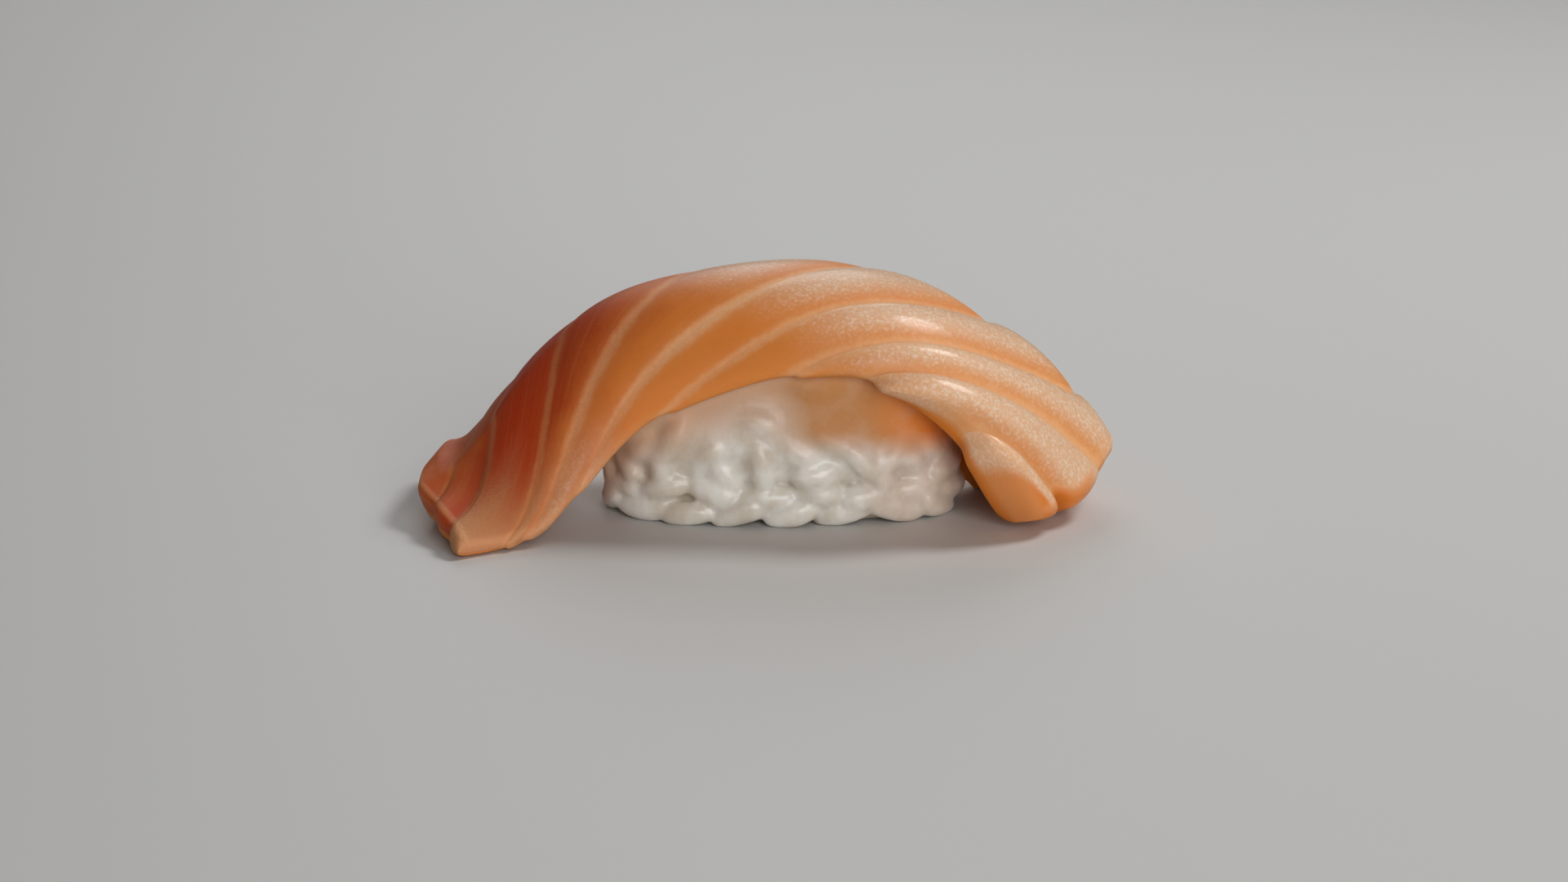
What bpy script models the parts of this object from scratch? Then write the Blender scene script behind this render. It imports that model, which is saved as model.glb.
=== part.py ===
"""Salmon nigiri: a slice of raw salmon draped over a hand-pressed ball of rice.

Two pieces, each one closed solid: salmon_slice and rice_ball. The sizes below are in millimetres and
the finished objects in metres, with +Z up and +X along the piece. The shapes are worked out with the
middle of the rice's foot as origin, and an empty then carries both, so that the world's origin lies
on the table under the middle of the whole.
"""

import math

import bpy
import numpy as np
from mathutils import Vector

MM = 0.001

# ---- The slice. Three guide curves carry the middle of its thickness, each through seven points
# spaced evenly from the left end to the right end: along the near rim, the crown and the far rim.
NEAR_RIM = [(-37.2, -24.4, 1.0), (-27.2, -18.2, 2.2), (-18.0, -13.2, 11.3), (-5.0, -12.8, 17.6),
            (8.0, -13.8, 19.2), (20.3, -15.2, 14.4), (28.2, -12.8, 1.2)]
CROWN = [(-42.4, -9.0, 2.4), (-35.0, -5.4, 7.8), (-23.0, -1.8, 20.9), (-7.0, 0.0, 26.3),
         (9.6, 1.3, 25.9), (25.9, 2.4, 18.1), (37.2, 0.6, 3.6)]
FAR_RIM = [(-40.8, 7.8, 2.4), (-36.3, 12.4, 4.2), (-24.0, 12.8, 11.8), (-6.0, 13.6, 17.4),
           (11.6, 14.3, 14.0), (21.8, 7.4, 1.3), (35.8, 11.0, 4.4)]
WRAP_MIDDLE = 78.0          # how far each flank turns down from the crown, degrees
WRAP_ENDS = 40.0
WRAP_POWER = 2.5            # the larger, the nearer the ends that change lies
THICK_LEFT = 4.4            # thickness at the crown, at the two ends
THICK_RIGHT = 6.8
NEAR_THINNING = 0.62        # share of the thickness lost at the near rim, where the knife ran out
LIP_THINNING = 0.20         # the same right of the lip, where the rim stays thick
FAR_THINNING = 0.25
THINNING_POWER = 2.5        # the larger, the nearer the rims the thinning lies
RIM_ROUND = 2.0             # width over which a long rim rounds off
END_ROUND = 0.026           # the same for the cut ends, as a share of the length
THINNEST = 0.3              # thickness left at the very edges

# ---- The fat seams. They are numbered from the left: seam k crosses the middle of the near flank at
# the share SEAM_AT[k] of the length, and the seams lean to the right towards the far rim.
SEAM_AT = [-0.10, 0.078, 0.225, 0.32, 0.48, 0.645, 0.79, 0.90, 1.11, 1.3]
SEAM_LEAN = [0.55, 0.33, 0.23, 0.33, 0.42, 0.42, 0.34, 0.335, 0.41, 0.41]   # one for each seam
SEAM_BEND = 0.45                  # the lean falls off towards the far rim by this share
LIP_SEAM = 7                      # the near rim is a thick lip from this seam on
SLIDE_STEPS = 20                  # steps that slide a point along its seam
BAND_LOW = 0.25                   # height of the flesh between seams: middle of the slice,
BAND_RIGHT = 0.95                 # right end
BAND_LEFT = 0.45                  # and left end,
BAND_FROM_RIGHT = (0.5, 0.85)     # between these shares of the length
BAND_FROM_LEFT = (0.2, 0.0)
BAND_MEAN = 0.6                   # the height is counted from this share of it
CREST_SHIFT = 0.65                # below 1, the crests lie nearer the seam on their left
REAR_FLAP_STEP = 0.8              # the flesh left of seam 1 lies this much lower,
FLAP_SEAMS = (1.06, 0.84)         # from this to this seam number,
FLAP_ALONG = (0.24, 0.14)         # share of the length
FLAP_ACROSS = (0.4, -0.2)         # and place across
END_SWELL = 1.6                   # the flesh swells by this much towards the right end
SWELL_ALONG = (0.80, 0.94)
END_CURL = 1.1                    # and the left end curls up by this much on the far side
CURL_ALONG = (0.15, 0.07)
CURL_ACROSS = (-0.3, 0.3)
RIM_WAVE = 0.03                   # the rims bulge between seams by this share of the half width,
LIP_WAVE = 0.10                   # and along the lip by this share, in lobes that are fullest
LOBE_RISE = (0.0, 0.15)           # and sink again between these shares of the way to the next seam
LOBE_FALL = (1.0, 0.25)
LIP_START = (-0.06, 0.16)         # seams past the lip's seam over which the lip begins
LEFT_END_WAVE = 0.012             # the left cut end bulges between seams by this share of the length
RIGHT_END_BULGE = 0.024           # and the right one half way down its near side by this share
FLAKE_SEAM = 7.85                 # the last flake at the right parts from the rest at this seam number,
FLAKE_SPREAD = 0.16               # over so much of it to either side,
FLAKE_GROOVE = 0.8                # in a groove this deep
FLAKE_ACROSS = (-0.55, -0.8)      # between these places across,
FLAKE_NOTCH = 0.022               # and a notch in the cut end of this share of the length

# ---- The ball of rice: a rounded block with a flat foot, covered in grains.
RICE_HALF_LENGTH = 21.6
RICE_HALF_WIDTH = 11.4
RICE_MIDDLE = 9.0                 # height of its widest level
RICE_HEIGHT = 24.4
RICE_BELOW = 20.0                 # depth of the rounding below that level, cut off by the foot
RICE_SQUARENESS = 2.6             # exponent of the superellipsoid
BROW = 2.6                        # how far the rice swells forward to meet the slice's near rim
BROW_DEPTH = (2.2, 6.2)           # how far down that swelling reaches, at the left and at the right
BROW_FROM = (-1.0, 5.0)           # between these places it deepens from the one to the other
BROW_FRONT = (-3.0, -9.0)         # it grows from nothing to its full size between these places
BROW_POWER = 1.6                  # the larger, the nearer the rim it lies
GRAINS = 290
GRAIN_HALF = (3.8, 1.7, 1.45)     # half length, width and thickness of one grain
GRAIN_SIZES = (0.9, 1.1)          # smallest and largest grain, as shares of that
GRAIN_SINK = 0.9                  # how far a grain's middle lies under the surface,
GRAIN_UNEVEN = 0.25               # with this spread
GRAIN_TURN = 0.7                  # spread of the grains' turn away from the block's length, radians
ROW_LEVELS = (1.5, 4.0)           # heights of the two lowest rows, whose grains lie nearly level
ROW_GRAINS = 17                   # grains in each of them
ROW_TURN = 0.22                   # spread of their turn
ROW_UNEVEN = 0.4                  # and of their height
ROWS_TOP = 5.2                    # the other grains lie above this height
GRAIN_SEED = 11

FIT_GAP = 0.55                    # clearance between the slice and the rice
OVERHANG = (4.0, 1.8)             # the slice keeps the rice down to this far beyond its long rims
NEAREST_STEPS = 25                # steps towards the nearest place of the underside,
NEAREST_MOVE = 0.1               # none of them longer than this in a or v,
NEAREST_INSIDE = 0.985            # and none nearer an edge than this

GRID_LENGTH = 56                  # cells of the slice along and across
GRID_WIDTH = 20
END_CROWDING = 0.6                # the slice's cells crowd towards its ends
RIM_CROWDING = 0.55               # and its long rims
BALL_LEVEL = 5                    # subdivision of the rice's starting sphere
BALL_CROWDING = (1.5, 1.0, 0.65)  # its vertices crowd towards the rice's ends and sides


def smooth_step(x):
    """0 below 0, 1 above 1, and smooth between."""
    x = np.clip(x, 0.0, 1.0)
    return x * x * (3.0 - 2.0 * x)


def ramp(x, start, end):
    """0 at start, 1 at end, and smooth between."""
    return smooth_step((x - start) / (end - start))


def guide(points, t):
    """Natural cubic spline through evenly spaced points, read at t in 0..1 or just past either end."""
    points = np.asarray(points, float)
    last = len(points) - 1
    system = np.eye(last + 1)
    bend = np.zeros_like(points)
    for i in range(1, last):
        system[i, i - 1:i + 2] = 1.0, 4.0, 1.0
        bend[i] = 6.0 * (points[i + 1] - 2.0 * points[i] + points[i - 1])
    bend = np.linalg.solve(system, bend)
    place = t * last
    i = np.clip(place.astype(int), 0, last - 1)
    f = (place - i)[..., None]
    g = 1.0 - f
    return g * points[i] + f * points[i + 1] + ((g**3 - g) * bend[i] + (f**3 - f) * bend[i + 1]) / 6.0


def seam_number(a, v):
    """Smooth count of the fat seams from the left: a whole number lies on a seam.

    a runs 0..1 along the slice and v -1..1 from the near rim over the crown to the far rim. Each point
    is slid along its seam's lean to the middle of the near flank, and the seams are counted there.
    """
    across = v + 0.5
    reach = across * (1.0 - SEAM_BEND * across)
    foot = np.array(a, float)
    for _ in range(SLIDE_STEPS):
        foot = a - np.interp(foot, SEAM_AT, SEAM_LEAN) * reach
    before = (foot - SEAM_AT[0]) / (SEAM_AT[1] - SEAM_AT[0])
    return np.where(foot < SEAM_AT[0], before, np.interp(foot, SEAM_AT, np.arange(len(SEAM_AT))))


def fullness(number):
    """0 on a seam, 1 at the crest of the flesh between two seams, which lies nearer the left seam."""
    phase = number - np.floor(number)
    return np.abs(np.sin(math.pi * phase ** CREST_SHIFT)) ** 0.8


def lobe(number):
    """0 on a seam, 1 a little right of it, and slowly back to 0 at the next."""
    phase = number - np.floor(number)
    return ramp(phase, *LOBE_RISE) * ramp(phase, *LOBE_FALL)


def lip(number):
    """1 where the near rim is a thick lip, 0 where it is a thin feather edge."""
    return ramp(number - LIP_SEAM, *LIP_START)


def flake_gap(number):
    """1 where the last flake parts from the rest, falling to 0 to either side."""
    return np.exp(-((number - FLAKE_SEAM) / FLAKE_SPREAD) ** 2)


def middle(a, v):
    """Middle surface: across the slice it runs along an elliptical arc from the crown to each rim.

    The flesh between seams bulges out over the rims and the cut ends.
    """
    number = seam_number(a, v)
    along = 2.0 * a - 1.0
    wave = RIM_WAVE * (lobe(number) - 0.5)
    wave = np.where(v < 0.0, wave + lip(number) * (LIP_WAVE * lobe(number) - wave), wave)
    s = np.abs(v) * (1.0 + wave * v**6 * (1.0 - along**30))
    a = a + LEFT_END_WAVE * (fullness(number) - 0.5) * np.minimum(along, 0.0)**15 * (1.0 - v**6)
    bulge = -RIGHT_END_BULGE * np.sin(math.pi * np.minimum(v, 0.0)) - FLAKE_NOTCH * flake_gap(number)
    a = a + bulge * np.maximum(along, 0.0)**15
    near, crown, far = (guide(points, a) for points in (NEAR_RIM, CROWN, FAR_RIM))
    wrap = np.radians(WRAP_MIDDLE - (WRAP_MIDDLE - WRAP_ENDS) * np.abs(2.0 * a - 1.0) ** WRAP_POWER)
    rim = np.where((v < 0.0)[..., None], near, far)
    out = (np.sin(s * wrap) / np.sin(wrap))[..., None]
    up = (np.cos(s * wrap) - np.cos(wrap)) / (1.0 - np.cos(wrap))
    point = crown + (rim - crown) * out
    point[..., 2] = rim[..., 2] + (crown - rim)[..., 2] * up
    return point


def outward(a, v):
    """Unit normal of the middle surface, away from the rice."""
    step = 1e-4
    a = np.clip(a, step, 1.0 - step)
    v = np.clip(v, -1.0 + step, 1.0 - step)
    along = middle(a + step, v) - middle(a - step, v)
    across = middle(a, v + step) - middle(a, v - step)
    normal = np.cross(along, across)
    return normal / np.linalg.norm(normal, axis=-1, keepdims=True)


def flank_thickness(a, v):
    """Thickness without seams and rounded edges: it thins from the crown towards both long rims."""
    thinning = np.where(v < 0.0, NEAR_THINNING + (LIP_THINNING - NEAR_THINNING) * lip(seam_number(a, v)),
                        FAR_THINNING)
    return (THICK_LEFT + (THICK_RIGHT - THICK_LEFT) * a) * (1.0 - thinning * np.abs(v)**THINNING_POWER)


def rounding(a, v):
    """1 over most of the slice, falling to 0 at the long rims and the cut ends, which it rounds off."""
    s = np.abs(v)
    half_width = np.linalg.norm(guide(NEAR_RIM, a) - guide(CROWN, a), axis=-1)
    rim = np.clip(1.0 - (1.0 - s) * half_width / RIM_ROUND, 0.0, 1.0)
    end = np.clip(1.0 - (0.5 - np.abs(a - 0.5)) / END_ROUND, 0.0, 1.0)
    return ((1.0 - rim**3) * (1.0 - end**3)) ** (1.0 / 3.0)


def relief(a, v):
    """Height of the flesh over the plain top: pillows between grooves along the seams."""
    number = seam_number(a, v)
    height = (BAND_LOW + (BAND_RIGHT - BAND_LOW) * ramp(a, *BAND_FROM_RIGHT)
              + (BAND_LEFT - BAND_LOW) * ramp(a, *BAND_FROM_LEFT))
    step = REAR_FLAP_STEP * ramp(number, *FLAP_SEAMS) * ramp(a, *FLAP_ALONG) * ramp(v, *FLAP_ACROSS)
    swell = END_SWELL * ramp(a, *SWELL_ALONG)
    curl = END_CURL * ramp(a, *CURL_ALONG) * ramp(v, *CURL_ACROSS)
    groove = FLAKE_GROOVE * flake_gap(number) * ramp(v, *FLAKE_ACROSS)
    return height * (fullness(number) - BAND_MEAN) - step + swell + curl - groove


def underside(a, v):
    """Lower surface of the slice, as if it weren't rounded off at its edges."""
    return middle(a, v) - outward(a, v) * (flank_thickness(a, v) / 2.0)[..., None]


def under_slice(points):
    """For points: the height over the slice's underside (negative is below it), the normal there, and
    how much the slice covers the point: 1 under it, falling to 0 a little beyond its long rims.

    The nearest place (a, v) of the underside is found by Newton steps from a first guess.
    """
    first, last = CROWN[0][0], CROWN[-1][0]
    inside, step = NEAREST_INSIDE, 1e-3
    a = np.clip((points[:, 0] - first) / (last - first), 1.0 - inside, inside)
    v = np.clip(points[:, 1] / FAR_RIM[3][1], -inside, inside)
    for _ in range(NEAREST_STEPS):
        here = underside(a, v)
        along = (underside(a + step, v) - here) / step
        across = (underside(a, v + step) - here) / step
        off = points - here
        aa, av, vv = (along * along).sum(1), (along * across).sum(1), (across * across).sum(1)
        ra, rv = (along * off).sum(1), (across * off).sum(1)
        det = aa * vv - av * av
        move = np.clip([(ra * vv - rv * av) / det, (rv * aa - ra * av) / det], -NEAREST_MOVE, NEAREST_MOVE)
        a = np.clip(a + move[0], 1.0 - inside, inside)
        v = np.clip(v + move[1], -inside, inside)
    normal = outward(a, v)
    off = points - underside(a, v)
    beyond = (off * across).sum(1) / np.linalg.norm(across, axis=1) * np.sign(v)
    return (off * normal).sum(1), normal, ramp(beyond, *OVERHANG)


def pressed(points):
    """The points, with those above the slice's underside pushed straight back under it."""
    height, normal, covered = under_slice(points)
    push = np.minimum(-FIT_GAP - height, 0.0) * covered
    points = points + normal * push[:, None]
    points[:, 2] = np.maximum(points[:, 2], 0.0)
    return points


def below_rim(points):
    """How far points at the front lie below the slice's near rim, as a share of the brow's depth there:
    0 at the rim and above it, 1 where the brow ends."""
    rim = middle(np.linspace(0.0, 1.0, 200), np.full(200, -1.0))
    level = np.interp(points[:, 0], rim[:, 0], rim[:, 2])
    depth = BROW_DEPTH[0] + (BROW_DEPTH[1] - BROW_DEPTH[0]) * ramp(points[:, 0], *BROW_FROM)
    return np.clip((level - points[:, 2]) / depth, 0.0, 1.0)


def swell_brow(points):
    """The rice swells forward to meet the near rim, most at the rim's height."""
    points = points.copy()
    points[:, 1] -= BROW * ramp(points[:, 1], *BROW_FRONT) * (1.0 - below_rim(points)) ** BROW_POWER
    return points


def rice_core(direction):
    """Radius of the rounded block along unit directions from its middle (superellipsoid)."""
    depth = np.where(direction[:, 2] > 0.0, RICE_HEIGHT - RICE_MIDDLE, RICE_BELOW)
    size = np.stack([np.full(len(direction), RICE_HALF_LENGTH), np.full(len(direction), RICE_HALF_WIDTH),
                     depth], axis=1)
    total = (np.abs(direction / size) ** RICE_SQUARENESS).sum(axis=1)
    return total ** (-1.0 / RICE_SQUARENESS)


def block_normal(points):
    """Outward unit normals of the rounded block at points on it, given from its middle."""
    size = np.array([RICE_HALF_LENGTH, RICE_HALF_WIDTH, RICE_BELOW])
    normal = np.sign(points) * np.abs(points / size) ** (RICE_SQUARENESS - 1.0) / size
    return normal / np.linalg.norm(normal, axis=1, keepdims=True)


def row_places(level, count, start):
    """Points evenly spaced along the block's outline at one height, from its middle."""
    turn = np.linspace(0.0, 2.0 * math.pi, 721)
    power = 2.0 / RICE_SQUARENESS
    reach = (1.0 - (abs(level - RICE_MIDDLE) / RICE_BELOW) ** RICE_SQUARENESS) ** (1.0 / RICE_SQUARENESS)
    x = RICE_HALF_LENGTH * reach * np.sign(np.cos(turn)) * np.abs(np.cos(turn)) ** power
    y = RICE_HALF_WIDTH * reach * np.sign(np.sin(turn)) * np.abs(np.sin(turn)) ** power
    run = np.concatenate([[0.0], np.cumsum(np.hypot(np.diff(x), np.diff(y)))])
    at = (np.arange(count) + start) / count * run[-1]
    height = np.full(count, level - RICE_MIDDLE)
    return np.stack([np.interp(at, run, x), np.interp(at, run, y), height], axis=1)


def grain_layout():
    """Middles, axes and half sizes of the grains, each lying on the block's surface.

    The two lowest rows run round the block, with grains nearly level and each row's grains over the
    gaps of the one below. Above them a golden spiral spreads the grains evenly, each turned by a
    seeded angle, most of them more along the block than across it.
    """
    rng = np.random.default_rng(GRAIN_SEED)
    count = np.arange(GRAINS)
    height = 1.0 - 2.0 * (count + 0.5) / GRAINS
    turn = count * math.pi * (3.0 - math.sqrt(5.0))
    ring = np.sqrt(1.0 - height**2)
    stretch = np.array([RICE_HALF_LENGTH, RICE_HALF_WIDTH, RICE_HEIGHT - RICE_MIDDLE])
    outside = np.stack([ring * np.cos(turn), ring * np.sin(turn), height], axis=1) * stretch
    outside /= np.linalg.norm(outside, axis=1, keepdims=True)
    place = outside * rice_core(outside)[:, None]
    above = place[:, 2] > ROWS_TOP - RICE_MIDDLE
    place, normal = place[above], (outside / stretch)[above]
    normal /= np.linalg.norm(normal, axis=1, keepdims=True)
    rows = [row_places(level, ROW_GRAINS, 0.5 * i) for i, level in enumerate(ROW_LEVELS)]
    place = np.concatenate([place] + rows)
    normal = np.concatenate([normal] + [block_normal(row) for row in rows])
    in_row = np.arange(len(place)) >= above.sum()
    centre = place - normal * (GRAIN_SINK + rng.normal(0.0, GRAIN_UNEVEN, len(place)))[:, None]
    centre[:, 2] += in_row * rng.normal(0.0, ROW_UNEVEN, len(place))
    along = np.cross(normal, np.where(in_row[:, None], [0.0, 0.0, 1.0], [0.0, 1.0, 0.15]))
    along /= np.linalg.norm(along, axis=1, keepdims=True)
    across = np.cross(normal, along)
    angle = (rng.normal(0.0, 1.0, len(place)) * np.where(in_row, ROW_TURN, GRAIN_TURN))[:, None]
    long_axis = along * np.cos(angle) + across * np.sin(angle)
    wide_axis = np.cross(normal, long_axis)
    size = np.array(GRAIN_HALF) * rng.uniform(*GRAIN_SIZES, (len(place), 1))
    return centre, np.stack([long_axis, wide_axis, normal], axis=1), size


def rice_radius(direction):
    """Distance from the ball's middle to the far side of the block or of the outermost grain hit."""
    radius = rice_core(direction)
    for centre, axes, size in zip(*grain_layout()):
        d = direction @ axes.T / size
        c = axes @ centre / size
        square = (d * d).sum(axis=1)
        lean = d @ c
        root = lean**2 - square * (c @ c - 1.0)
        leaving = (lean + np.sqrt(np.maximum(root, 0.0))) / square
        radius = np.where(root > 0.0, np.maximum(radius, leaving), radius)
    down = np.minimum(direction[:, 2], -1e-6)
    return np.minimum(radius, np.where(direction[:, 2] < 0.0, RICE_MIDDLE / -down, np.inf))


def principled(name, colour, roughness, subsurface):
    material = bpy.data.materials.new(name)
    material.use_nodes = True
    shader = material.node_tree.nodes["Principled BSDF"]
    shader.inputs["Base Color"].default_value = (*colour, 1.0)
    shader.inputs["Roughness"].default_value = roughness
    shader.inputs["Metallic"].default_value = 0.0
    shader.inputs["Subsurface Weight"].default_value = subsurface
    material.diffuse_color = (*colour, 1.0)
    return material


def place_vertices(mesh, points):
    mesh.vertices.foreach_set("co", (points * MM).astype(np.float32).ravel())
    mesh.update()


def read_vertices(mesh):
    co = np.empty(len(mesh.vertices) * 3, np.float32)
    mesh.vertices.foreach_get("co", co)
    return co.reshape(-1, 3).astype(float)


def draped_sheet(name):
    """A flat grid for the drape, and the (a, v) of its vertices, which crowd towards the edges."""
    bpy.ops.mesh.primitive_grid_add(x_subdivisions=GRID_LENGTH, y_subdivisions=GRID_WIDTH, size=2.0)
    sheet = bpy.context.active_object
    sheet.name = name
    sheet.data.name = name
    flat = read_vertices(sheet.data)
    a = (flat[:, 0] + 1.0) / 2.0
    a = a - END_CROWDING * np.sin(2.0 * math.pi * a) / (2.0 * math.pi)
    v = (1.0 - RIM_CROWDING) * flat[:, 1] + RIM_CROWDING * np.sin(flat[:, 1] * math.pi / 2.0)
    return sheet, a, v


def thicken(sheet, thickness):
    """Solidify to both sides by a thickness in millimetres that varies over the sheet."""
    most = thickness.max()
    group = sheet.vertex_groups.new(name="thickness")
    for index, share in enumerate(thickness / most):
        group.add([index], float(share), "REPLACE")
    solidify = sheet.modifiers.new("thickness", "SOLIDIFY")
    solidify.thickness = most * MM
    solidify.offset = 0.0
    solidify.vertex_group = group.name


def make_slice(collection):
    """The sheet lies half way between a smooth underside and a top with the seams' relief."""
    sheet, a, v = draped_sheet("salmon_slice")
    pillow = relief(a, v) * rounding(a, v)
    place_vertices(sheet.data, middle(a, v) + outward(a, v) * pillow[:, None] / 2.0)
    thicken(sheet, np.maximum(flank_thickness(a, v) * rounding(a, v) + pillow, THINNEST))
    finish(sheet, collection, principled("salmon", (0.503, 0.178, 0.045), 0.28, 0.3))
    return sheet


def make_rice(collection):
    bpy.ops.mesh.primitive_ico_sphere_add(subdivisions=BALL_LEVEL, radius=1.0)
    ball = bpy.context.active_object
    ball.name = "rice_ball"
    ball.data.name = "rice_ball"
    direction = read_vertices(ball.data) * BALL_CROWDING
    direction /= np.linalg.norm(direction, axis=1, keepdims=True)
    points = direction * rice_radius(direction)[:, None] + (0.0, 0.0, RICE_MIDDLE)
    place_vertices(ball.data, pressed(swell_brow(points)))
    finish(ball, collection, principled("rice", (0.565, 0.497, 0.445), 0.4, 0.2))
    return ball


def finish(thing, collection, material):
    """Shade smooth, give the material and keep the object in one collection alone."""
    thing.data.shade_smooth()
    thing.data.materials.append(material)
    for other in list(thing.users_collection):
        other.objects.unlink(thing)
    collection.objects.link(thing)


def new_collection(name):
    collection = bpy.data.collections.new(name)
    bpy.context.scene.collection.children.link(collection)
    return collection


def centre_on_table(things, collection):
    """Hang everything on an empty that brings the whole's foot to the origin."""
    bpy.context.view_layer.update()
    graph = bpy.context.evaluated_depsgraph_get()
    corners = []
    for thing in things:
        corners += [Vector(c) for c in thing.evaluated_get(graph).bound_box]
    low = Vector(min(c[i] for c in corners) for i in range(3))
    high = Vector(max(c[i] for c in corners) for i in range(3))
    foot = bpy.data.objects.new("nigiri", None)
    collection.objects.link(foot)
    foot.location = (-(low.x + high.x) / 2.0, -(low.y + high.y) / 2.0, -low.z)
    for thing in things:
        thing.parent = foot


def main():
    for thing in list(bpy.data.objects):
        bpy.data.objects.remove(thing, do_unlink=True)
    parts = new_collection("salmon_nigiri")
    salmon = make_slice(parts)
    rice = make_rice(parts)
    centre_on_table([salmon, rice], parts)


main()
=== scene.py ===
"""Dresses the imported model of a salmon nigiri: the slice of fish with its fat seams, the single grains
of rice over a smaller core, and a plain studio round them. Lengths are in millimetres where a name or
comment says so, and in metres elsewhere. Shapes are worked out with the middle of the rice's foot as
origin, and moved to the frame's own place at the end."""

import math

import bpy
import numpy as np
from bpy.props import FloatProperty, FloatVectorProperty, IntProperty, PointerProperty
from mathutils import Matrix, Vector


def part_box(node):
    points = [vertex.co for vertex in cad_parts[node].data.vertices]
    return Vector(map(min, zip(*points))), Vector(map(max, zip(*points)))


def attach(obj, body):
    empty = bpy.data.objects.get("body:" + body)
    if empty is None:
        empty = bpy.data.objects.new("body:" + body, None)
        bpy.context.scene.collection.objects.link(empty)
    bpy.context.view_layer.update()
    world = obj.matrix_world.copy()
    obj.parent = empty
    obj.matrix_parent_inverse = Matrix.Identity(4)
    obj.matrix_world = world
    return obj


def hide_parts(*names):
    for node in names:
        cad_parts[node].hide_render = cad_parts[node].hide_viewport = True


bl_info = {
    "name": "Salmon Nigiri",
    "version": (1, 0, 0),
    "blender": (4, 5, 0),
    "location": "View3D > Sidebar > Nigiri",
    "description": "Makes the fish, the rice and the studio of a salmon nigiri",
    "category": "Mesh",
}

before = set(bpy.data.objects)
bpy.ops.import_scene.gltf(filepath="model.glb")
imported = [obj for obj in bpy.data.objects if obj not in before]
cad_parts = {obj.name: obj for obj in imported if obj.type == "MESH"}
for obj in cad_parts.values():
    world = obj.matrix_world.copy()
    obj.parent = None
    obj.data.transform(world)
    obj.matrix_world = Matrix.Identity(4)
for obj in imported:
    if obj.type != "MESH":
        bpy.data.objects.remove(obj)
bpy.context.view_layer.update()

MM = 0.001

# ---- The slice. Three guide curves carry the middle of its thickness, each through seven points
# spaced evenly from the left end to the right end: along the near rim, the crown and the far rim.
NEAR_RIM = [(-37.2, -24.4, 1.0), (-27.2, -18.2, 2.2), (-18.0, -13.2, 11.3), (-5.0, -12.8, 17.6),
            (8.0, -13.8, 19.2), (20.3, -15.2, 14.4), (28.2, -12.8, 1.2)]
CROWN = [(-42.4, -9.0, 2.4), (-35.0, -5.4, 7.8), (-23.0, -1.8, 20.9), (-7.0, 0.0, 26.3),
         (9.6, 1.3, 25.9), (25.9, 2.4, 18.1), (37.2, 0.6, 3.6)]
FAR_RIM = [(-40.8, 7.8, 2.4), (-36.3, 12.4, 4.2), (-24.0, 12.8, 11.8), (-6.0, 13.6, 17.4),
           (11.6, 14.3, 14.0), (21.8, 7.4, 1.3), (35.8, 11.0, 4.4)]
WRAP_MIDDLE = 78.0          # how far each flank turns down from the crown, degrees
WRAP_ENDS = 40.0
WRAP_POWER = 2.5            # the larger, the nearer the ends that change lies
THICK_LEFT = 4.4            # thickness at the crown, at the two ends
THICK_RIGHT = 6.8
NEAR_THINNING = 0.62        # share of the thickness lost at the near rim, where the knife ran out
LIP_THINNING = 0.20         # the same right of the lip, where the rim stays thick
FAR_THINNING = 0.25
THINNING_POWER = 2.5        # the larger, the nearer the rims the thinning lies
RIM_ROUND = 2.0             # width over which a long rim rounds off
END_ROUND = 0.026           # the same for the cut ends, as a share of the length
THINNEST = 0.3              # thickness left at the very edges

# ---- The fat seams. They are numbered from the left: seam k crosses the middle of the near flank at
# the share SEAM_AT[k] of the length, and the seams lean to the right towards the far rim.
SEAM_AT = [-0.10, 0.078, 0.225, 0.32, 0.48, 0.645, 0.79, 0.90, 1.11, 1.3]
SEAM_LEAN = [0.55, 0.33, 0.23, 0.33, 0.42, 0.42, 0.34, 0.335, 0.41, 0.41]   # one for each seam
SEAM_BEND = 0.45                  # the lean falls off towards the far rim by this share
LIP_SEAM = 7                      # the near rim is a thick lip from this seam on
SLIDE_STEPS = 20                  # steps that slide a point along its seam
BAND_LOW = 0.25                   # height of the flesh between seams: middle of the slice,
BAND_RIGHT = 0.95                 # right end
BAND_LEFT = 0.45                  # and left end,
BAND_FROM_RIGHT = (0.5, 0.85)     # between these shares of the length
BAND_FROM_LEFT = (0.2, 0.0)
BAND_MEAN = 0.6                   # the height is counted from this share of it
CREST_SHIFT = 0.65                # below 1, the crests lie nearer the seam on their left
REAR_FLAP_STEP = 0.5              # the flesh left of seam 1 lies this much lower,
FLAP_SEAMS = (1.06, 0.84)         # from this to this seam number,
FLAP_ALONG = (0.24, 0.14)         # share of the length
FLAP_ACROSS = (0.4, -0.2)         # and place across
END_SWELL = 1.6                   # the flesh swells by this much towards the right end
SWELL_ALONG = (0.80, 0.94)
END_CURL = 1.1                    # and the left end curls up by this much on the far side
CURL_ALONG = (0.15, 0.07)
CURL_ACROSS = (-0.3, 0.3)
RIM_WAVE = 0.03                   # the rims bulge between seams by this share of the half width,
LIP_WAVE = 0.10                   # and along the lip by this share, in lobes that are fullest
LOBE_RISE = (0.0, 0.15)           # and sink again between these shares of the way to the next seam
LOBE_FALL = (1.0, 0.25)
LIP_START = (-0.06, 0.16)         # seams past the lip's seam over which the lip begins
LEFT_END_WAVE = 0.012             # the left cut end bulges between seams by this share of the length
RIGHT_END_BULGE = 0.024           # and the right one half way down its near side by this share
FLAKE_SEAM = 7.85                 # the last flake at the right parts from the rest at this seam number,
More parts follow.
